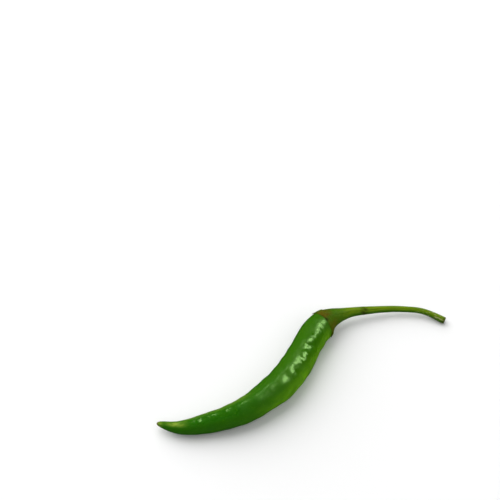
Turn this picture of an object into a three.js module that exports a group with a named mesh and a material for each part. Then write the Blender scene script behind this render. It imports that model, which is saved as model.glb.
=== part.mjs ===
// A fresh green Thai chilli, lying on a flat surface as it was picked: a long, slender, slightly
// S-curved pod, and the green stalk that flares into the cup (calyx) capping the pod's shoulder.
// Millimetres, +Z up. X runs along the chilli's longest extent, from the pod's tip (-X) to the
// stalk's cut end (+X). The origin is on the surface, under the middle of the chilli's box.
//
// Both pieces are turned as straight bodies on one long centre line and then bent along it, so
// every place on them is given by `along`, the distance from the pod's tip, and by an angle
// around the centre line: 0 on top, +90 degrees on the outer side of the pod's bend.
import * as THREE from 'three';
import { mergeVertices } from 'three/addons/utils/BufferGeometryUtils.js';

// ---- Driving dimensions -------------------------------------------------------------------

const POD_LENGTH = 67.4;        // from the tip to the top of the shoulder, along the bend
const CALYX_START = 63.9;       // where the calyx rim sits on the pod
const CUT_END = 103.5;          // the stalk's cut end
const SEAT_GAP = 0.32;          // clearance between the shoulder and the inside of the calyx
const RIM_WALL = 0.1;           // thickness of the calyx at its rim
const CALYX_TILT = 0.25;        // lean of the shoulder and calyx towards the inner side of the bend
const NECK_TAPER = 0.07;        // how fast the neck narrows, which the leaned pieces still follow

const POD_SIDES = 30;           // facets round the pod
const POD_RINGS = 72;           // steps from the tip to the shoulder
const STALK_SIDES = 20;         // facets round the stalk: four to each calyx tooth
const STALK_RINGS = 62;         // steps from the inside of the calyx to the cut end

const SECTION_LOBES = 0.018;    // how far the pod's section is from round, as a share of its radius
const LUMP_HEIGHT = 0.08;       // the shallow lumps where the seeds press on the wall
const LUMP_SPACING = 6.4;       // from one lump to the next
const BELLY_BULGE = 0.42;       // the swelling on the outer side, half way along the pod
const NECK_DENT = 0.26;         // the hollow in the outer side, below the shoulder

const TOOTH_LENGTHS = [0, 1.3, 0.9, 0.9, 1]; // how far each point of the rim reaches down the pod
const TOOTH_TURN = 0.32;        // turn of the first point from the top, in radians
const RIM_DIP = 0.8;            // how much lower the rim hangs between the first point and the last
const DIP_TURN = -0.73;         // turn of the middle of that dip from the top, in radians
const STALK_RIBS = 0.045;       // height of the five ridges along the stalk
const CONTACT_PRESS = 0.08;     // depth by which the skin is pressed flat where it rests

// The centre line, from the tip to the cut end. Its heights leave the underside touching near
// the tip, under the upper half of the pod and at the stalk's end.
const CENTRE_LINE = [
  [-43.1, -18.9, 2.55],         // tip, lifted clear of the surface
  [-36.8, -20.3, 2.62],
  [-28.3, -19.0, 2.98],         // first resting place
  [-18.8, -15.9, 3.98],
  [-10.9, -10.3, 4.66],         // belly
  [-4.9, -3.5, 4.76],
  [-0.5, 4.3, 4.68],
  [2.6, 10.6, 4.42],            // second resting place, the neck
  [6.5, 15.1, 4.34],            // calyx
  [12.2, 18.03, 3.85],
  [20.3, 19.92, 2.9],           // stalk
  [28.8, 20.71, 2.3],
  [36.0, 19.95, 2.0],
  [42.75, 17.0, 1.0],           // cut end, just resting
].map(([x, y, z]) => new THREE.Vector3(x, y, z));

// The pod's outline: distance from the tip, and radius.
const POD_OUTLINE = [
  [0, 0],
  [0.1, 0.28],
  [0.3, 0.45],
  [0.9, 0.74],
  [1.8, 0.98],
  [3.4, 1.3],
  [7.3, 1.98],
  [12.9, 2.74],
  [19.4, 3.3],
  [27.4, 3.86],
  [33.9, 4.28],
  [40.4, 4.5],
  [47.4, 4.62],
  [54.4, 4.46],
  [58.9, 4.45],
  [62.0, 4.3],
  [63.4, 4.1],
  [64.6, 3.56],
  [66.0, 2.6],
  [67.1, 1.3],
  [POD_LENGTH, 0],
];

// The stalk's outer outline from the calyx rim to the cut end.
const STALK_OUTLINE = [
  [CALYX_START, 4.16],
  [65.6, 3.67],
  [66.8, 3.22],
  [69.0, 2.5],
  [71.4, 1.9],
  [74.4, 1.47],
  [78.9, 1.21],
  [84.4, 0.99],
  [91.4, 0.86],
  [97.9, 0.89],
  [101.2, 1.0],
  [CUT_END, 1.04],
];

// ---- Shape tools --------------------------------------------------------------------------

const spine = new THREE.CatmullRomCurve3(CENTRE_LINE, false, 'centripetal');
spine.arcLengthDivisions = 600;
const SPINE_LENGTH = spine.getLength();
const UP = new THREE.Vector3(0, 0, 1);

// A smooth rise from 0 at `from` to 1 at `to`.
const rise = (x, from, to) => THREE.MathUtils.smoothstep(x, from, to);

// A smooth hump of height 1, centred at `middle` and `reach` wide on each side.
const hump = (x, middle, reach) => 1 - rise(Math.abs(x - middle), 0, reach);

// A point at a distance from the centre line, in the plane square to it.
function placeOnSpine(along, angle, radius) {
  const u = THREE.MathUtils.clamp(along / SPINE_LENGTH, 0, 1);
  const tangent = spine.getTangentAt(u);
  const side = new THREE.Vector3().crossVectors(tangent, UP).normalize();
  const top = new THREE.Vector3().crossVectors(side, tangent);
  return spine.getPointAt(u)
    .addScaledVector(top, radius * Math.cos(angle))
    .addScaledVector(side, radius * Math.sin(angle));
}

// Turns an outline of [along, radius] points into a body of revolution, then bends that body
// along the centre line. `shape` gives each point's final [along, radius] from its angle.
function bentLathe(outline, sides, shape) {
  const profile = outline.map(([along, radius]) => new THREE.Vector2(radius, along));
  const turned = new THREE.LatheGeometry(profile, sides);
  turned.deleteAttribute('normal');
  turned.deleteAttribute('uv');
  const body = mergeVertices(turned, 1e-4);
  const place = body.getAttribute('position');
  for (let i = 0; i < place.count; i += 1) {
    const radius = Math.hypot(place.getX(i), place.getZ(i));
    const angle = Math.atan2(place.getX(i), place.getZ(i));
    const [along, reach] = shape(place.getY(i), angle, radius);
    const point = placeOnSpine(along, angle, reach);
    place.setXYZ(i, point.x, point.y, pressFlat(point.z));
  }
  body.computeVertexNormals();
  return body;
}

// The chilli's weight presses its lowest skin flat, which leaves small level patches to rest on.
function pressFlat(height) {
  return Math.max(height - CONTACT_PRESS, 0);
}

// Leans the shoulder, and the calyx that sits on it, towards the inner side of the bend.
function tilted(along, angle, radius) {
  const shift = -CALYX_TILT * radius * Math.sin(angle) * rise(along, 58, 63) * (1 - rise(along, 67.5, 72.5));
  return [along + shift, radius * (1 - NECK_TAPER * shift * rise(along, 61, 64))];
}

// Samples a smooth curve through outline points, closed on the axis where they are.
function smoothOutline(points, steps) {
  const curve = new THREE.SplineCurve(points.map(([along, radius]) => new THREE.Vector2(along, radius)));
  return curve.getSpacedPoints(steps).map((p) => [p.x, Math.max(p.y, 0)]);
}

// ---- The pod ------------------------------------------------------------------------------

// Two shallow lobes and a third weaker one, as in a pod of two to three chambers, with lumps
// of uneven height on its wall, a fuller belly and a slight hollow in the neck on the outer side.
function podReach(along, angle, radius) {
  const full = rise(along, 4, 24) * (1 - rise(along, 58.4, POD_LENGTH));
  const lobes = Math.cos(2 * angle - 0.9) + 0.6 * Math.cos(3 * angle + 1.1 + along / 30);
  const turn = (2 * Math.PI * along) / LUMP_SPACING;
  const lumps = Math.sin(turn + 1.9 * Math.sin(angle)) * Math.sin(0.37 * turn + 1.4 * Math.cos(angle));
  const outerSide = Math.max(0, Math.sin(angle)) ** 2;
  const belly = BELLY_BULGE * outerSide * rise(along, 34.4, 37.2) * (1 - rise(along, 37.4, 47.4));
  const dent = NECK_DENT * outerSide * hump(along, 54.4, 4.5);
  return radius * (1 + SECTION_LOBES * full * lobes) + full * LUMP_HEIGHT * lumps + belly - dent;
}

function podShape(along, angle, radius) {
  return tilted(along, angle, radius === 0 ? 0 : podReach(along, angle, radius));
}

function pod() {
  return bentLathe(smoothOutline(POD_OUTLINE, POD_RINGS), POD_SIDES, podShape);
}

// ---- The calyx and stalk ------------------------------------------------------------------

const podProfile = smoothOutline(POD_OUTLINE, 4 * POD_RINGS);
const stalkProfile = smoothOutline(STALK_OUTLINE, STALK_RINGS);

// The radius of a smooth outline at a place along it, for the stretch where it only moves on.
function radiusAt(profile, along) {
  const next = Math.max(profile.findIndex(([a]) => a > along), 1);
  const [[a0, r0], [a1, r1]] = [profile[next - 1], profile[next]];
  return THREE.MathUtils.mapLinear(along, a0, a1, r0, r1);
}

// The inside of the calyx follows the pod's shoulder with a constant clearance.
function cupLining() {
  const shoulder = podProfile.filter(([along]) => along > CALYX_START);
  const lining = shoulder.map(([along, radius], i) => {
    const [a0, r0] = shoulder[Math.max(i - 1, 0)];
    const [a1, r1] = shoulder[Math.min(i + 1, shoulder.length - 1)];
    const steep = Math.hypot(a1 - a0, r1 - r0);
    return [along - (SEAT_GAP * (r1 - r0)) / steep, radius + (SEAT_GAP * (a1 - a0)) / steep];
  });
  lining[lining.length - 1] = [POD_LENGTH + SEAT_GAP, 0];
  return lining.filter((point, i) => i % 3 === 0 || i === lining.length - 1).reverse();
}

// The rim's points and its dip reach down the pod, clear of its skin; ridges run the length of the
// stalk, one from each point.
function stalkShape(along, angle, radius) {
  const teeth = TOOTH_LENGTHS.length;
  const turns = ((angle - TOOTH_TURN) / (2 * Math.PI)) * teeth;
  const tooth = Math.max(0, Math.cos(2 * Math.PI * turns)) ** 2;
  const length = TOOTH_LENGTHS[(Math.round(turns) + teeth) % teeth];
  const drop = length * tooth + RIM_DIP * hump(angle, DIP_TURN, 1.05);
  const down = along - drop * (1 - rise(along, CALYX_START, CALYX_START + 2.4));
  const ribs = STALK_RIBS * Math.cos(2 * Math.PI * turns) * rise(along, 65.5, 70.5)
    * (1 - rise(along, CUT_END - 0.4, CUT_END - 0.1));
  let reach = radius > 0.3 ? radius + ribs : radius;
  if (along < CALYX_START + 2.4 && radius > 1) {
    const skin = podReach(down, angle, radiusAt(podProfile, down));
    const outside = radius > radiusAt(stalkProfile, Math.max(along, CALYX_START)) - 0.01;
    reach = outside
      ? Math.max(reach + 0.2 * (along - down), skin + SEAT_GAP + RIM_WALL)
      : skin + radius - radiusAt(podProfile, along);
  }
  return tilted(down, angle, reach);
}

function stemAndCalyx() {
  const outline = [...cupLining(), ...stalkProfile, [CUT_END, 0]];
  return bentLathe(outline, STALK_SIDES, stalkShape);
}

// ---- Assembly -----------------------------------------------------------------------------

function piece(name, geometry, look) {
  const mesh = new THREE.Mesh(geometry, new THREE.MeshStandardMaterial(look));
  mesh.name = name;
  return mesh;
}

const chilli = new THREE.Group();
chilli.add(
  piece('pod', pod(), { color: '#2f7a0a', roughness: 0.28, metalness: 0 }),
  piece('stem_and_calyx', stemAndCalyx(), { color: '#55760f', roughness: 0.5, metalness: 0 }),
);

// The origin goes under the middle of the box; the height is already right.
const box = new THREE.Box3().setFromObject(chilli);
const middle = box.getCenter(new THREE.Vector3());
chilli.position.set(-middle.x, -middle.y, 0);

export default chilli;
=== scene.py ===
"""A fresh green Thai chilli lying on a pale table: glossy, lumpy pod, toothed calyx and ribbed stalk.

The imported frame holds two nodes, pod and stem_and_calyx. Each is replaced here by a finer piece of
the same size. Both are turned as straight bodies on one long centre line and then bent along it, so
a place on them is given by `along`, the distance in millimetres from the pod's tip, and by an angle
round the centre line: 0 on top, a quarter turn on the outer side of the pod's bend. Shape sizes are
in millimetres and finished meshes are in metres.
"""

import logging
import math
from collections.abc import Callable
from dataclasses import dataclass, field
from enum import Enum
from functools import cached_property

import bmesh
import bpy
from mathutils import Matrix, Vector, noise


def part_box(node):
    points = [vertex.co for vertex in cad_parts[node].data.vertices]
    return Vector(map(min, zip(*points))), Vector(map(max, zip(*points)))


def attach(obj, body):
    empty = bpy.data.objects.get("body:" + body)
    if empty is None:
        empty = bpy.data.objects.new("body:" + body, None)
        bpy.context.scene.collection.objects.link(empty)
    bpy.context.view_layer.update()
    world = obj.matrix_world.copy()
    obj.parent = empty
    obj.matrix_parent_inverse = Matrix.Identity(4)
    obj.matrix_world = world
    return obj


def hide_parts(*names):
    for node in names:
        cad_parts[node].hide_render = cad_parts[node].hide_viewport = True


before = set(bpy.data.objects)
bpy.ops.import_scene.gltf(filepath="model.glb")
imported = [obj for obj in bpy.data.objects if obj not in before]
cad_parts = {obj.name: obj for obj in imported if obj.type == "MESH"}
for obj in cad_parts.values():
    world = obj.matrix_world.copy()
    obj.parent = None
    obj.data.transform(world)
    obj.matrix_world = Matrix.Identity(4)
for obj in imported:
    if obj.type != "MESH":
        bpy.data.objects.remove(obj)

log = logging.getLogger("chilli")
logging.basicConfig(level=logging.INFO, format="%(message)s")

MM = 0.001
FULL_TURN = 2 * math.pi
LAID_STRAIGHT = "laid_straight"
CALYX_TILT = 0.25
NECK_TAPER = 0.07

Colour = tuple[float, float, float]
Outline = list[tuple[float, float]]


class LampUse(Enum):
    """What a lamp does: large diffused ones light the scene, small ones only leave highlights."""

    SOFT_LIGHT = "soft light"
    HIGHLIGHT = "highlight"


# ---- Curves and soft steps ---------------------------------------------------------------------


def rise(x: float, start: float, end: float) -> float:
    """A smooth rise from 0 at start to 1 at end."""
    t = min(max((x - start) / (end - start), 0.0), 1.0)
    return t * t * (3 - 2 * t)


def hump(x: float, middle: float, reach: float) -> float:
    """A smooth hump of height 1 at middle that ends at reach on each side."""
    return 1 - rise(abs(x - middle), 0, reach)


def tilted(along: float, angle: float, radius: float) -> tuple[float, float]:
    """Leans the shoulder and the calyx on it towards the inner side, and keeps the neck's taper.

    Args:
        along: Distance from the tip.
        angle: Angle round the line.
        radius: Distance from the line.

    Returns:
        The leaned distance along and radius.
    """
    shift = -CALYX_TILT * radius * math.sin(angle) * rise(along, 58, 63) * (1 - rise(along, 67.5, 72.5))
    return along + shift, radius * (1 - NECK_TAPER * shift * rise(along, 61, 64))


def turn_between(a: float, b: float) -> float:
    """The angle from b to a, between minus and plus half a turn."""
    return (a - b + math.pi) % FULL_TURN - math.pi


def smooth_curve(points: list[Vector], steps_per_span: int) -> list[Vector]:
    """A centripetal Catmull-Rom curve through points.

    Args:
        points: The points that the curve passes through.
        steps_per_span: Steps between one point and the next.

    Returns:
        Points along the curve, both ends included.
    """
    ends = [2 * points[0] - points[1], *points, 2 * points[-1] - points[-2]]
    made = []
    for p0, p1, p2, p3 in zip(ends, ends[1:], ends[2:], ends[3:]):
        d0, d1, d2 = (math.sqrt((b - a).length) for a, b in ((p0, p1), (p1, p2), (p2, p3)))
        leave = ((p1 - p0) / d0 - (p2 - p0) / (d0 + d1) + (p2 - p1) / d1) * d1
        arrive = ((p2 - p1) / d1 - (p3 - p1) / (d1 + d2) + (p3 - p2) / d2) * d1
        for i in range(steps_per_span):
            t = i / steps_per_span
            made.append(p1 + leave * t + (3 * (p2 - p1) - 2 * leave - arrive) * t**2
                        + (2 * (p1 - p2) + leave + arrive) * t**3)
    return [*made, points[-1]]


def even_steps(curve: list[Vector], steps: int) -> list[Vector]:
    """Points at equal distances along a finely stepped curve.

    Args:
        curve: The fine points.
        steps: The number of equal steps.

    Returns:
        steps + 1 points, both ends included.
    """
    lengths = [0.0]
    for a, b in zip(curve, curve[1:]):
        lengths.append(lengths[-1] + (b - a).length)
    made, k = [], 0
    for i in range(steps):
        target = lengths[-1] * i / steps
        while lengths[k + 1] < target:
            k += 1
        share = (target - lengths[k]) / (lengths[k + 1] - lengths[k])
        made.append(curve[k].lerp(curve[k + 1], share))
    return [*made, curve[-1]]


def smooth_outline(points: Outline, steps: int) -> Outline:
    """A smooth outline of (along, radius) pairs at equal distances."""
    curve = smooth_curve([Vector((along, radius, 0)) for along, radius in points], 24)
    return [(p.x, max(p.y, 0.0)) for p in even_steps(curve, steps)]


@dataclass(frozen=True)
class CentreLine:
    """The long curve through pod and stalk, from the tip to the cut end.

    Attributes:
        points: Places in millimetres, on the frame's axes.
        press: How far the chilli's weight presses its lowest skin flat.
    """

    points: tuple[tuple[float, float, float], ...] = (
        (-43.1, -18.9, 2.55),
        (-36.8, -20.3, 2.62),
        (-28.3, -19.0, 2.98),
        (-18.8, -15.9, 3.98),
        (-10.9, -10.3, 4.66),
        (-4.9, -3.5, 4.76),
        (-0.5, 4.3, 4.68),
        (2.6, 10.6, 4.42),
        (6.5, 15.1, 4.34),
        (12.2, 18.03, 3.85),
        (20.3, 19.92, 2.9),
        (28.8, 20.71, 2.3),
        (36.0, 19.95, 2.0),
        (42.75, 17.0, 1.0),
    )
    press: float = 0.08

    @cached_property
    def fine(self) -> list[Vector]:
        """The curve in 2000 equal steps."""
        return even_steps(smooth_curve([Vector(p) for p in self.points], 150), 2000)

    @cached_property
    def step(self) -> float:
        """The length of one of the fine steps."""
        return sum((b - a).length for a, b in zip(self.fine, self.fine[1:])) / (len(self.fine) - 1)

    def place(self, along: float, angle: float, radius: float) -> Vector:
        """The point at a radius and an angle round the line, with the underside pressed flat.

        Args:
            along: Distance from the tip.
            angle: Angle round the line.
            radius: Distance from the line.

        Returns:
            The place in millimetres.
        """
        spot = min(max(along / self.step, 0.0), len(self.fine) - 1.001)
        k = int(spot)
        here = self.fine[k].lerp(self.fine[k + 1], spot - k)
        heading = (self.fine[min(k + 6, len(self.fine) - 1)] - self.fine[max(k - 5, 0)]).normalized()
        side = heading.cross(Vector((0, 0, 1))).normalized()
        top = side.cross(heading)
        beyond = heading * (along - spot * self.step)
        at = here + beyond + radius * (math.cos(angle) * top + math.sin(angle) * side)
        at.z = max(at.z - self.press, 0.0)
        return at


# ---- Shader building ---------------------------------------------------------------------------


class Graph:
    """Lays out the nodes of one material."""

    def __init__(self, name: str) -> None:
        """Makes an empty material with a Principled shader.

        Args:
            name: The material's name.
        """
        self.material = bpy.data.materials.new(name)
        self.material.use_nodes = True
        self.nodes = self.material.node_tree.nodes
        self.links = self.material.node_tree.links
        self.shader = self.nodes["Principled BSDF"]

    def node(self, kind: str, inputs: dict[str | int, object] | None = None,
             **settings: object) -> bpy.types.Node:
        """Adds a node.

        Args:
            kind: The node's type.
            inputs: Socket values, or sockets to link from.
            settings: The node's own properties.

        Returns:
            The node.
        """
        made = self.nodes.new(kind)
        for key, value in settings.items():
            setattr(made, key, value)
        for key, value in (inputs or {}).items():
            if isinstance(value, bpy.types.NodeSocket):
                self.links.new(value, made.inputs[key])
            else:
                made.inputs[key].default_value = value
        return made

    def mark(self, name: str) -> bpy.types.NodeSocket:
        """One of the soft-edged marks that the mesh carries, 0 to 1."""
        return self.node("ShaderNodeAttribute", attribute_name=name).outputs["Fac"]

    def straight(self, scale: tuple[float, float, float]) -> bpy.types.NodeSocket:
        """Coordinates on the body before it was bent, so that a pattern follows the bend.

        Args:
            scale: Pattern repeats per millimetre, across twice and along.

        Returns:
            The scaled coordinates.
        """
        source = self.node("ShaderNodeAttribute", attribute_name=LAID_STRAIGHT).outputs["Vector"]
        return self.node("ShaderNodeMapping", {"Vector": source, "Scale": scale}).outputs["Vector"]

    def cloud(self, scale: tuple[float, float, float], detail: float = 2.0,
              roughness: float = 0.5) -> bpy.types.NodeSocket:
        """Noise that follows the bend, around 0.5."""
        inputs = {"Vector": self.straight(scale), "Scale": 1.0, "Detail": detail, "Roughness": roughness}
        return self.node("ShaderNodeTexNoise", inputs).outputs["Fac"]

    def spread(self, value: bpy.types.NodeSocket, low: float, high: float,
               to_low: float = 0.0, to_high: float = 1.0) -> bpy.types.NodeSocket:
        """Maps low..high to to_low..to_high smoothly, clamped."""
        inputs = {"Value": value, "From Min": low, "From Max": high, "To Min": to_low, "To Max": to_high}
        return self.node("ShaderNodeMapRange", inputs, interpolation_type="SMOOTHSTEP").outputs["Result"]

    def sum(self, a: bpy.types.NodeSocket | float, b: bpy.types.NodeSocket | float,
            operation: str = "ADD") -> bpy.types.NodeSocket:
        """Joins two values by a math operation, clamped to 0..1."""
        return self.node("ShaderNodeMath", {0: a, 1: b}, operation=operation, use_clamp=True).outputs[0]

    def blend(self, share: bpy.types.NodeSocket | float, low: bpy.types.NodeSocket | Colour,
              high: bpy.types.NodeSocket | Colour) -> bpy.types.NodeSocket:
        """Goes from the low colour to the high one.

        Args:
            share: How much of the high colour.
            low: A colour or a colour socket.
            high: A colour or a colour socket.

        Returns:
            The mixed colour.
        """
        made = self.node("ShaderNodeMix", data_type="RGBA")
        sockets = [s for s in made.inputs if s.enabled]
        for socket, value in zip(sockets, (share, low, high)):
            if isinstance(value, bpy.types.NodeSocket):
                self.links.new(value, socket)
            elif isinstance(value, tuple):
                socket.default_value = (*value, 1.0)
            else:
                socket.default_value = value
        return next(s for s in made.outputs if s.enabled)

    def grain(self, height: bpy.types.NodeSocket, depth: float,
              under: bpy.types.NodeSocket | None = None) -> bpy.types.NodeSocket:
        """A bump of the given depth in millimetres.

        Args:
            height: The height pattern, 0 to 1.
            depth: Height of the pattern in millimetres.
            under: A bump to add this one to.

        Returns:
            The normal.
        """
        inputs = {"Height": height, "Distance": depth * MM, "Strength": 1.0}
        if under is not None:
            inputs["Normal"] = under
        return self.node("ShaderNodeBump", inputs).outputs["Normal"]

    def dress(self, colour: bpy.types.NodeSocket, roughness: bpy.types.NodeSocket,
              normal: bpy.types.NodeSocket) -> None:
        """Links the three patterned sockets of the shader."""
        self.links.new(colour, self.shader.inputs["Base Color"])
        self.links.new(roughness, self.shader.inputs["Roughness"])
        self.links.new(normal, self.shader.inputs["Normal"])

    def settle(self, **constants: object) -> bpy.types.Material:
        """Sets the shader's plain sockets, named with underscores, and returns the material."""
        for key, value in constants.items():
            self.shader.inputs[key.replace("_", " ")].default_value = value
        return self.material


@dataclass(frozen=True)
class PodSkin:
    """The pod's waxy skin: mottled greens, a lighter upper half and flank that are painted light, a pale
    crest that is partly a painted highlight, and a dry tip.

    Attributes:
        deep: The darkest green.
        leaf: The main green.
        bright: The yellow-green of thin, sunlit skin.
        straw: The pale skin above the tip.
        dry: The tan of the very tip.
    """

    deep: Colour = (0.014, 0.118, 0.0008)
    leaf: Colour = (0.031, 0.13, 0.0008)
    # bright: The yellow-green painted on the outer flank as painted light, and the colour of the small
    # flecks.
    bright: Colour = (0.145, 0.39, 0.0012)
    # straw: The pale colour of the tip and the crest above it; on the crest it is partly a painted highlight,
    # and on the inner side of the tip half it is painted sheen.
    straw: Colour = (0.22, 0.33, 0.03)
    dry: Colour = (0.16, 0.13, 0.03)

    def material(self) -> bpy.types.Material:
        """Builds the finish."""
        g = Graph("pod_skin")
        mottle = g.spread(g.cloud((0.22, 0.22, 0.12), 3.0, 0.55), 0.3, 0.7, 0.0, 0.45)
        # Painted light: the upper half is blended towards the lighter green, as if more light fell on it.
        colour = g.blend(g.sum(mottle, g.mark("upper")), self.deep, self.leaf)
        streaks = g.spread(g.cloud((1.5, 1.5, 0.09), 2.0), 0.45, 0.75, 0.0, 0.3)
        colour = g.blend(streaks, colour, self.leaf)
        # Painted light: the outer flank is coloured a lighter yellow-green in patches, as though lit from
        # that side.
        patches = g.spread(g.cloud((0.5, 0.5, 0.35), 2.0), 0.3, 0.7, 0.55, 1.0)
        pale = g.sum(g.mark("pale"), patches, "MULTIPLY")
        colour = g.blend(pale, colour, self.bright)
        flecks = g.spread(g.cloud((3.2, 3.2, 2.2), 1.0), 0.62, 0.8, 0.0, 0.28)
        colour = g.blend(flecks, colour, self.bright)
        # The straw colour is the tip's own dry colour, plus a painted highlight on the crest above it and
        # painted sheen on the tip half's inner side, broken into patches by this noise.
        withered = g.spread(g.cloud((1.1, 1.1, 0.5), 2.0), 0.3, 0.6, 0.4, 1.0)
        straw = g.sum(g.mark("straw"), withered, "MULTIPLY")
        colour = g.blend(straw, colour, self.straw)
        colour = g.blend(g.mark("dry"), colour, self.dry)
        roughness = g.spread(g.cloud((0.9, 0.9, 0.6), 2.0), 0.3, 0.7, 0.28, 0.36)
        roughness = g.sum(roughness, g.spread(g.mark("shiny"), 0.0, 1.0, 0.0, 0.12), "SUBTRACT")
        roughness = g.sum(roughness, g.spread(g.mark("dry"), 0.0, 1.0, 0.0, 0.3))
        hollows = g.sum(g.cloud((0.42, 0.42, 0.5), 1.0), g.mark("shiny"), "MULTIPLY")
        puckers = g.grain(hollows, 0.3)
        normal = g.grain(g.cloud((1.1, 1.1, 0.9), 3.0), 0.05, puckers)
        g.dress(colour, roughness, g.grain(g.cloud((6.0, 6.0, 5.0), 1.0), 0.004, normal))
        return g.settle(IOR=1.45, Specular_IOR_Level=0.5, Specular_Tint=(0.6, 1.0, 0.34, 1.0),
                        Subsurface_Weight=0.2, Subsurface_Radius=(0.5, 1.0, 0.2),
                        Subsurface_Scale=1.0 * MM)


@dataclass(frozen=True)
class StalkSkin:
    """The fibrous skin of stalk and calyx, with its blush, dry teeth, dry cut end and painted shade on the
    stalk's underside.

    Attributes:
        green: The stalk's yellow-green.
        shade: The darker green in the furrows and on the cup, also painted on the stalk's underside as
            painted shade.
        olive: The dull olive round the calyx rim.
        blush: The orange-brown on the calyx.
        bark: The dry brown of scars, teeth and cut end.
        cork: The pale flecks near the cut end.
    """

    green: Colour = (0.145, 0.24, 0.001)
    shade: Colour = (0.022, 0.1, 0.0005)
    olive: Colour = (0.088, 0.1, 0.0008)
    blush: Colour = (0.088, 0.058, 0.0008)
    bark: Colour = (0.024, 0.026, 0.003)
    cork: Colour = (0.3, 0.31, 0.12)

    def material(self) -> bpy.types.Material:
        """Builds the finish."""
        g = Graph("stalk_skin")
        fibres = g.cloud((4.5, 4.5, 0.16), 3.0, 0.6)
        colour = g.blend(g.spread(fibres, 0.36, 0.62, 0.45), self.shade, self.green)
        # Painted shade: the stalk's underside is blended towards the darker green.
        colour = g.blend(g.mark("under"), colour, self.shade)
        blots = g.spread(g.cloud((0.8, 0.8, 0.5), 3.0), 0.35, 0.65, 0.55, 1.0)
        colour = g.blend(g.sum(g.mark("cup"), 0.75, "MULTIPLY"), colour, self.shade)
        colour = g.blend(g.sum(g.mark("olive"), blots, "MULTIPLY"), colour, self.olive)
        colour = g.blend(g.sum(g.mark("blush"), blots, "MULTIPLY"), colour, self.blush)
        flecks = g.spread(g.cloud((3.4, 3.4, 0.9), 1.0), 0.56, 0.66)
        colour = g.blend(g.sum(g.mark("corky"), flecks, "MULTIPLY"), colour, self.cork)
        colour = g.blend(g.mark("dry"), colour, self.bark)
        roughness = g.spread(fibres, 0.3, 0.7, 0.42, 0.56)
        roughness = g.sum(roughness, g.spread(g.mark("dry"), 0.0, 1.0, 0.0, 0.35))
        normal = g.grain(fibres, 0.06)
        g.dress(colour, roughness, g.grain(g.cloud((5.0, 5.0, 3.0), 2.0), 0.012, normal))
        return g.settle(IOR=1.4, Specular_IOR_Level=0.14, Specular_Tint=(0.8, 1.0, 0.4, 1.0),
                        Subsurface_Weight=0.08, Subsurface_Radius=(0.6, 1.0, 0.2), Subsurface_Scale=0.6 * MM)


# ---- Turned and bent bodies --------------------------------------------------------------------


@dataclass(frozen=True)
class TurnedBody:
    """A body that is turned from an outline on a straight axis and bent along the centre line.

    Attributes:
        line: The centre line that it follows.
        name: The piece's name.
        node: The frame's node that it replaces.
        slot: The record's material slot; not used.
        sides: Facets round the body.
        rings: Steps along its outline.
    """

    line: CentreLine
    name: str
    node: str
    slot: str
    sides: int
    rings: int

    def outline(self) -> Outline:
        """The turned outline, closed on the axis at both ends."""
        raise NotImplementedError

    def shape(self, along: float, angle: float, radius: float) -> tuple[float, float]:
        """The final distance along and radius of a point of the turned body."""
        raise NotImplementedError

    def marks(self) -> dict[str, Callable[[float, float, float], float]]:
        """The marks on the skin, each a function of along, angle and radius."""
        raise NotImplementedError

    def turned(self) -> bmesh.types.BMesh:
        """Spins the outline round the axis.

        Returns:
            The straight body, standing on its first point along Z.
        """
        bm = bmesh.new()
        points = [bm.verts.new((0.0, radius, along)) for along, radius in self.outline()]
        edges = [bm.edges.new(pair) for pair in zip(points, points[1:])]
        bmesh.ops.spin(bm, geom=[*points, *edges], cent=(0, 0, 0), axis=(0, 0, 1), dvec=(0, 0, 0),
                       angle=FULL_TURN, steps=self.sides, use_merge=True, use_duplicate=False)
        bmesh.ops.remove_doubles(bm, verts=bm.verts, dist=1e-4)
        bmesh.ops.recalc_face_normals(bm, faces=bm.faces)
        return bm

    def bend(self, bm: bmesh.types.BMesh) -> None:
        """Shapes and bends the straight body, and writes its straight places and marks on it."""
        straight = bm.verts.layers.float_vector.new(LAID_STRAIGHT)
        marks = {bm.verts.layers.float.new(name): weigh for name, weigh in self.marks().items()}
        for vert in bm.verts:
            radius = math.hypot(vert.co.x, vert.co.y)
            angle = math.atan2(vert.co.x, vert.co.y)
            vert[straight] = vert.co
            for layer, weigh in marks.items():
                vert[layer] = weigh(vert.co.z, angle, radius)
            along, reach = self.shape(vert.co.z, angle, radius)
            vert.co = self.line.place(along, angle, reach) * MM

    def build(self, material: bpy.types.Material) -> bpy.types.Object:
        """Makes the piece and dresses it.

        Args:
            material: The piece's finish.

        Returns:
            The finished object, riding on the root body in place of its node.
        """
        bm = self.turned()
        self.bend(bm)
        for face in bm.faces:
            face.smooth = True
        mesh = bpy.data.meshes.new(self.name)
        bm.to_mesh(mesh)
        bm.free()
        mesh.materials.append(material)
        piece = bpy.data.objects.new(self.name, mesh)
        bpy.context.scene.collection.objects.link(piece)
        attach(piece, "root")
        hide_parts(self.node)
        return piece


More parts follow.
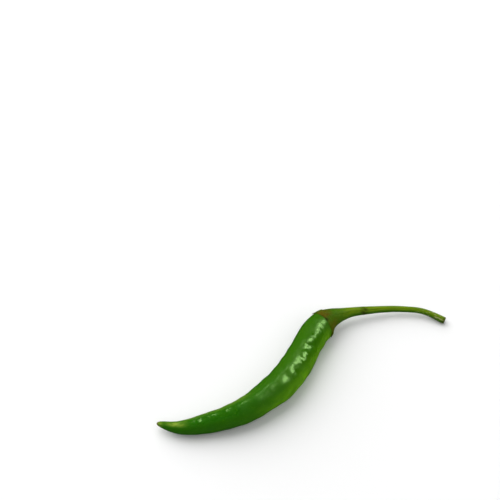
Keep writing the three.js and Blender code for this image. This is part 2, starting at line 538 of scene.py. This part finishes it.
@dataclass(frozen=True)
class Pod(TurnedBody):
    """The fruit itself: slender, glossy and shallowly lumpy.

    Attributes:
        length: From the tip to the top of the shoulder.
        lobe_height: How far the section is from round, as a share of its radius.
        lump_height: Height of the long lumps.
        lump_spacing: Distance between them.
        belly_bulge: The swelling half way along the outer side.
        neck_dent: The hollow in the outer side below the shoulder.
        dimple_depth: Depth of the small dimples between the seeds.
        ripple_depth: Depth of the fine cross ripples.
    """

    name: str = "chilli_pod"
    node: str = "pod"
    slot: str = "pod_skin"
    sides: int = 112
    rings: int = 250
    length: float = 67.4
    lobe_height: float = 0.018
    lump_height: float = 0.08
    lump_spacing: float = 6.4
    belly_bulge: float = 0.42
    neck_dent: float = 0.26
    dimple_depth: float = 0.5
    ripple_depth: float = 0.08

    def outline(self) -> Outline:
        """The pod's outline from the blunt tip to the shoulder under the calyx."""
        points = [(0, 0), (0.1, 0.28), (0.3, 0.45), (0.9, 0.74), (1.8, 0.98), (3.4, 1.3), (7.3, 1.98),
                  (12.9, 2.74), (19.4, 3.3), (27.4, 3.86), (33.9, 4.28), (40.4, 4.5), (47.4, 4.62),
                  (54.4, 4.46), (58.9, 4.45), (62.0, 4.32), (63.4, 4.17), (64.7, 3.88), (65.9, 3.2),
                  (66.9, 1.9), (self.length, 0)]
        return smooth_outline(points, self.rings)

    def fullness(self, along: float) -> float:
        """How strongly the lumps show: not at all at the tip and under the calyx."""
        return rise(along, 3, 22) * (1 - rise(along, 58.9, self.length))

    def lumps(self, along: float, angle: float) -> float:
        """The long lumps, the belly and the neck's hollow, in millimetres."""
        turn = FULL_TURN * along / self.lump_spacing
        waves = math.sin(turn + 1.9 * math.sin(angle)) * math.sin(0.37 * turn + 1.4 * math.cos(angle))
        outer = max(0.0, math.sin(angle)) ** 2
        belly = self.belly_bulge * outer * rise(along, 34.4, 37.2) * (1 - rise(along, 37.4, 47.4))
        dent = self.neck_dent * outer * hump(along, 54.4, 4.5)
        return self.fullness(along) * self.lump_height * waves + belly - dent

    def dimples(self, along: float, angle: float, radius: float) -> float:
        """The small dimples and cross ripples, in millimetres."""
        across = (radius * math.sin(angle), radius * math.cos(angle))
        flank = hump(turn_between(angle, math.radians(42)), 0, 1.5) * (0.3 + 0.7 * hump(along, 51, 24))
        crest = 0.5 * hump(turn_between(angle, 0), 0, 1.0) * hump(along, 15, 11)
        dimple = noise.noise(Vector((across[0] / 3.4, across[1] / 3.4, along / 2.9)))
        ripple = noise.noise(Vector((across[0] / 2.4 + 7, across[1] / 2.4, along / 0.95)))
        depth = self.dimple_depth * dimple + self.ripple_depth * ripple
        return self.fullness(along) * depth * (0.15 + 0.85 * max(flank, crest))

    def reach(self, along: float, angle: float, radius: float) -> float:
        """Adds lobes, lumps and dimples to the turned radius."""
        lobes = math.cos(2 * angle - 0.9) + 0.6 * math.cos(3 * angle + 1.1 + along / 30)
        reach = radius * (1 + self.lobe_height * self.fullness(along) * lobes)
        return reach + self.lumps(along, angle) + self.dimples(along, angle, radius)

    def shape(self, along: float, angle: float, radius: float) -> tuple[float, float]:
        """Leans the shoulder of the lumpy body."""
        return tilted(along, angle, self.reach(along, angle, radius) if radius > 1e-6 else 0.0)

    def marks(self) -> dict[str, Callable[[float, float, float], float]]:
        """The upper half and the outer flank, coloured lighter as painted light; the straw-pale crest, partly
        a painted highlight; the dry tip and the shiniest skin.
        """

        def upper(along: float, angle: float, radius: float) -> float:
            """Painted light: the lighter green of the upper half, where more light falls on it."""
            return 0.75 * rise(along, 24, 46)

        def pale(along: float, angle: float, radius: float) -> float:
            """Painted light: the outer flank, coloured a lighter yellow-green as though lit from that side.
            """
            side = 1 - rise(abs(turn_between(angle, math.radians(105))), 0.4, 1.3)
            return side * rise(along, 20, 44) * (1 - rise(along, 61, 66))

        def straw(along: float, angle: float, radius: float) -> float:
            """The pale crest above the tip, partly a paler skin and partly a painted highlight; a pale streak
            along the inner side of the tip half, which is painted sheen; and the tip itself.
            """
            crest = hump(turn_between(angle, 0), 0, 0.75) * hump(along, 5.8, 4.6)
            ridge = 0.45 * hump(turn_between(angle, math.radians(-50)), 0, 0.7) * (1 - rise(along, 26, 34))
            return max(crest, ridge, 0.6 * (1 - rise(along, 0.6, 3.0)))

        def dry(along: float, angle: float, radius: float) -> float:
            """The withered end of the tip."""
            return 1 - rise(along, 0.15, 1.0)

        def shiny(along: float, angle: float, radius: float) -> float:
            """The smoothest skin: the upper half's flank and the crest above the tip."""
            flank = hump(turn_between(angle, math.radians(32)), 0, 0.8) * hump(along, 51, 16)
            crest = hump(turn_between(angle, math.radians(2)), 0, 0.7) * (1 - rise(along, 20, 28))
            return max(flank, crest)

        return {"upper": upper, "pale": pale, "straw": straw, "dry": dry, "shiny": shiny}


@dataclass(frozen=True)
class StalkAndCalyx(TurnedBody):
    """The five-toothed cup on the pod's shoulder and the stalk that it narrows into.

    Attributes:
        rim: Where the calyx rim sits, from the pod's tip.
        cut: The stalk's cut end.
        tooth_lengths: How far each point of the rim reaches down the pod.
        rim_wall: Thickness of the calyx at its rim.
        rim_dip: How much lower the rim hangs on the inner side, between the first point and the last.
        tooth_lift: How far a dried point curls off the skin.
        first_tooth: The angle of the first point.
        rib_height: Height of the five ridges along the stalk.
        scar: Where the ringed scar is on the stalk.
        scar_height: How far the ring stands proud.
    """

    name: str = "chilli_stalk_and_calyx"
    node: str = "stem_and_calyx"
    slot: str = "stalk"
    sides: int = 100
    rings: int = 230
    rim: float = 63.9
    cut: float = 103.5
    tooth_lengths: tuple[float, ...] = (0.0, 1.3, 0.9, 0.9, 1.0)
    rim_wall: float = 0.12
    rim_dip: float = 0.8
    tooth_lift: float = 0.32
    first_tooth: float = 0.32
    rib_height: float = 0.05
    scar: float = 78.0
    scar_height: float = 0.05
    pod: Pod = field(default_factory=lambda: Pod(CentreLine()))

    def outline(self) -> Outline:
        """From the cup's lining on the axis, over the rim and along the stalk to the cut end."""
        lining = [(67.2, 0), (66.8, 1.7), (65.9, 3.0), (65.1, 3.55), (self.rim + 0.1, 3.98)]
        outside = [(self.rim, 4.1), (self.rim + 0.12, 4.16), (65.6, 3.67), (66.8, 3.22), (69.0, 2.5),
                   (71.4, 1.9), (74.4, 1.47), (78.9, 1.21), (84.4, 0.99), (91.4, 0.86), (97.9, 0.89),
                   (101.2, 1.0), (self.cut - 0.12, 1.03)]
        end = [(self.cut, 0.96), (self.cut - 0.02, 0.8), (self.cut - 0.16, 0.5), (self.cut - 0.1, 0)]
        return [*lining, *smooth_outline(outside, self.rings), *smooth_outline(end, 10)]

    def tooth(self, angle: float) -> float:
        """1 on the middle line of a tooth, 0 between the teeth."""
        return max(0.0, math.cos(self.teeth * (angle - self.first_tooth))) ** 2

    @property
    def teeth(self) -> int:
        """The number of points on the rim."""
        return len(self.tooth_lengths)

    def tooth_length(self, angle: float) -> float:
        """The length of the nearest tooth."""
        return self.tooth_lengths[round((angle - self.first_tooth) / FULL_TURN * self.teeth) % self.teeth]

    def ribs(self, along: float, angle: float, radius: float) -> float:
        """The ridges, fibres and ring of the stalk, in millimetres."""
        present = rise(along, 65.5, 70.5) * (1 - rise(along, self.cut - 0.5, self.cut - 0.1))
        ridges = self.rib_height * math.cos(self.teeth * (angle - self.first_tooth) + 0.02 * along)
        across = Vector((math.sin(angle) * 3.1, math.cos(angle) * 3.1, along / 9))
        fibres = 0.05 * noise.noise(across) + 0.02 * noise.noise(across * 2.7)
        ring = self.scar_height * hump(along, self.scar, 1.0) * (0.6 + 0.4 * math.sin(angle + 0.6))
        wander = 0.05 * noise.noise(Vector((math.sin(angle), math.cos(angle), along / 3.5)))
        return present * (ridges + fibres) + ring + wander * rise(along, 67.5, 73)

    def shape(self, along: float, angle: float, radius: float) -> tuple[float, float]:
        """Draws the teeth out, hugs the pod at the rim and ridges the stalk."""
        if radius < 0.3:
            return along, radius
        tooth = self.tooth(angle)
        length = self.tooth_length(angle)
        drop = length * tooth + self.rim_dip * hump(turn_between(angle, math.radians(-42)), 0, 1.05)
        down = along - drop * (1 - rise(along, self.rim, self.rim + 2.4))
        reach = radius + self.ribs(along, angle, radius)
        if along < self.rim + 2.4:
            skin = self.skin_radius(down, angle) + self.tooth_lift * min(0.5 + length, 1.0) * tooth**2 * hump(
                along, self.rim, 0.9)
            outside = radius > 3.9 - 0.35 * (along - self.rim)
            wall = self.rim_wall + 0.25 * rise(along, self.rim + 0.1, self.rim + 1.6)
            reach = max(reach + 0.2 * (along - down), skin + wall) if outside else skin + 0.02
        return tilted(down, angle, reach)

    def skin_radius(self, along: float, angle: float) -> float:
        """The reach of the pod's skin under the calyx."""
        outline = self.pod_outline
        k = next((i for i, (a, _) in enumerate(outline) if a >= along), len(outline) - 1)
        return self.pod.reach(along, angle, outline[k][1])

    @cached_property
    def pod_outline(self) -> Outline:
        """The pod's outline, kept because the rim asks for it at every point."""
        return self.pod.outline()

    def marks(self) -> dict[str, Callable[[float, float, float], float]]:
        """The cup's darker green, the painted shade on the stalk's underside, its blush and olive rim, the
        dry teeth, scar and cut end.
        """

        def cup(along: float, angle: float, radius: float) -> float:
            """The darker green of the cup."""
            return 1 - rise(along, 68, 75)

        def under(along: float, angle: float, radius: float) -> float:
            """Painted shade: the underside of the stalk, coloured darker where less light falls on it."""
            return 0.85 * rise(abs(turn_between(angle, math.radians(-25))), 0.9, 1.7) * rise(along, 66, 76)

        def olive(along: float, angle: float, radius: float) -> float:
            """The dull olive below the blush, on the outer side."""
            return hump(turn_between(angle, math.radians(66)), 0, 0.95) * (1 - rise(along, 66.8, 70.4))

        def blush(along: float, angle: float, radius: float) -> float:
            """The orange-brown between the top tooth and the inner one."""
            side = min(1.5 * hump(turn_between(angle, math.radians(-14)), 0, 0.75), 1.0)
            return side * (1 - rise(along, 65.6, 68.2))

        def dry(along: float, angle: float, radius: float) -> float:
            """The dried teeth, the brown scar on the stalk and the cut end."""
            middle = min(1.3 * self.tooth(angle) ** 3, 1.0)
            point = middle * (1 - rise(along, self.rim + 0.3, self.rim + 1.35))
            sides = 0.55 + 0.45 * math.cos(angle - math.radians(60))
            wander = noise.noise(Vector((math.sin(angle) * 2, math.cos(angle) * 2, along / 1.2)))
            scar = sides * hump(along, self.scar, 1.9) * min(max(0.85 + 1.2 * wander, 0.0), 1.0)
            end = rise(along, self.cut - 1.1 - 0.8 * wander, self.cut - 0.1)
            return max(point, 0.9 * scar, 0.75 * end)

        def corky(along: float, angle: float, radius: float) -> float:
            """Where pale flecks cover the stalk, towards the cut end."""
            return 0.06 + 0.94 * rise(along, 92, 100)

        return {"cup": cup, "under": under, "olive": olive, "blush": blush, "dry": dry, "corky": corky}


# ---- Stage -------------------------------------------------------------------------------------


@dataclass(frozen=True)
class Softbox:
    """A square lamp with a soft edge, aimed at the chilli.

    Attributes:
        name: The lamp's name.
        place: Where it stands, in metres.
        width: The length of its side.
        power: Its power in watts.
        use: What it does.
    """

    name: str
    place: tuple[float, float, float]
    width: float
    power: float
    use: LampUse

    def build(self) -> None:
        """Hangs the lamp."""
        lamp = bpy.data.lights.new(self.name, "AREA")
        lamp.size = self.width
        lamp.energy = self.power
        held = bpy.data.objects.new(self.name, lamp)
        held.location = self.place
        held.rotation_euler = Vector(self.place).to_track_quat("Z", "Y").to_euler()
        held.visible_glossy = self.use is LampUse.HIGHLIGHT
        held.visible_diffuse = self.use is LampUse.SOFT_LIGHT
        bpy.context.scene.collection.objects.link(held)


@dataclass(frozen=True)
class Stage:
    """The pale table, the light and the camera.

    Attributes:
        table: Half the side of the table, in metres.
        fade: How far from its middle the table starts to fade to white, and where it is all white.
        lens: The camera's focal length in millimetres.
        aim: The point on the table that the camera looks at, in metres.
        distance: From that point to the camera.
        elevation: The camera's height above the table, as an angle in degrees.
        sky: How bright the white surroundings are.
        softboxes: The lamps.
    """

    table: float = 0.6
    fade: tuple[float, float] = (0.22, 0.5)
    lens: float = 85.0
    aim: tuple[float, float, float] = (-0.01647, 0.04562, 0.0)
    distance: float = 0.37508
    elevation: float = 52.0
    sky: float = 0.27
    softboxes: tuple[Softbox, ...] = (
        Softbox("overhead_silk", (-0.38, 0.6, 0.72), 1.7, 19.5, LampUse.SOFT_LIGHT),
        Softbox("front_fill", (0.42, -0.34, 0.55), 0.9, 1.9, LampUse.SOFT_LIGHT),
        Softbox("right_window", (0.32, 0.22, 0.57), 0.3, 4.6, LampUse.HIGHLIGHT),
        Softbox("back_window", (-0.134, 0.307, 0.555), 0.09, 0.4, LampUse.HIGHLIGHT),
    )

    def build(self) -> None:
        """Sets up table, light and camera."""
        self.build_table()
        self.build_sky()
        for softbox in self.softboxes:
            softbox.build()
        self.build_camera()

    def build_table(self) -> None:
        """Lays the pale table under the chilli, fading to plain white towards its edge."""
        bm = bmesh.new()
        bmesh.ops.create_grid(bm, x_segments=1, y_segments=1, size=self.table)
        mesh = bpy.data.meshes.new("table")
        bm.to_mesh(mesh)
        bm.free()
        table = bpy.data.objects.new("table", mesh)
        bpy.context.scene.collection.objects.link(table)
        g = Graph("white_table")
        place = g.node("ShaderNodeTexCoord").outputs["Object"]
        distance = g.node("ShaderNodeVectorMath", {0: place}, operation="LENGTH").outputs["Value"]
        seen = g.node("ShaderNodeLightPath").outputs["Is Camera Ray"]
        fade = g.sum(g.spread(distance, *self.fade), seen, "MULTIPLY")
        g.links.new(fade, g.shader.inputs["Emission Strength"])
        mesh.materials.append(g.settle(Base_Color=(0.9, 0.9, 0.9, 1.0), Roughness=0.9, IOR=1.2))
        table.visible_glossy = False

    def build_sky(self) -> None:
        """Surrounds the table with even, gentle light, and shows it as plain white behind the table."""
        world = bpy.data.worlds.new("white_surroundings")
        bpy.context.scene.world = world
        world.use_nodes = True
        nodes = world.node_tree.nodes
        seen = nodes.new("ShaderNodeLightPath").outputs["Is Camera Ray"]
        strength = nodes.new("ShaderNodeMapRange")
        strength.inputs["To Min"].default_value = self.sky
        strength.inputs["To Max"].default_value = 1.0
        world.node_tree.links.new(seen, strength.inputs["Value"])
        world.node_tree.links.new(strength.outputs["Result"], nodes["Background"].inputs["Strength"])
        nodes["Background"].inputs["Color"].default_value = (1.0, 1.0, 1.0, 1.0)
        world.cycles_visibility.glossy = False
        bpy.context.scene.view_settings.view_transform = "Standard"

    def build_camera(self) -> None:
        """Places the camera, which looks down on the table from the outer side of the bend."""
        camera = bpy.data.cameras.new("camera")
        camera.lens = self.lens
        camera.clip_start = 0.01
        held = bpy.data.objects.new("camera", camera)
        tilt = math.radians(self.elevation)
        back = Vector((0, -math.cos(tilt), math.sin(tilt)))
        held.location = Vector(self.aim) + self.distance * back
        held.rotation_euler = back.to_track_quat("Z", "Y").to_euler()
        bpy.context.scene.collection.objects.link(held)
        bpy.context.scene.camera = held


# ---- Assembly ----------------------------------------------------------------------------------


def seat_on_frame(pieces: list[bpy.types.Object]) -> None:
    """Slides the pieces together along the table until the pod's box starts where the frame's does.

    Args:
        pieces: The pieces, with the pod first.
    """
    low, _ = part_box("pod")
    mine = [min(vert.co[axis] for vert in pieces[0].data.vertices) for axis in (0, 1)]
    shift = Vector((low[0] - mine[0], low[1] - mine[1], 0))
    for piece in pieces:
        for vert in piece.data.vertices:
            vert.co += shift
    log.info("slid by %.3f, %.3f mm", shift.x / MM, shift.y / MM)


def report_piece(piece: bpy.types.Object, node: str) -> None:
    """Logs a piece's triangles and how far its box is from its node's.

    Args:
        piece: The finished piece.
        node: The node that it replaces.
    """
    corners = [[pick(v.co[axis] for v in piece.data.vertices) for axis in range(3)] for pick in (min, max)]
    gaps = [(mine - theirs) / MM
            for ours, cad in zip(corners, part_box(node)) for mine, theirs in zip(ours, cad)]
    count = sum(len(p.vertices) - 2 for p in piece.data.polygons)
    log.info("%s: %d triangles, box against %s in mm: %s", piece.name, count, node,
             " ".join(f"{gap:+.2f}" for gap in gaps))


def main() -> None:
    """Builds the pod, the stalk with its calyx and the stage, in that order."""
    line = CentreLine()
    pod = Pod(line)
    stalk = StalkAndCalyx(line, pod=pod)
    pieces = [pod.build(PodSkin().material()), stalk.build(StalkSkin().material())]
    seat_on_frame(pieces)
    for piece, body in zip(pieces, (pod, stalk)):
        report_piece(piece, body.node)
    Stage().build()


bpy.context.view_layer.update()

if __name__ == "__main__":
    main()
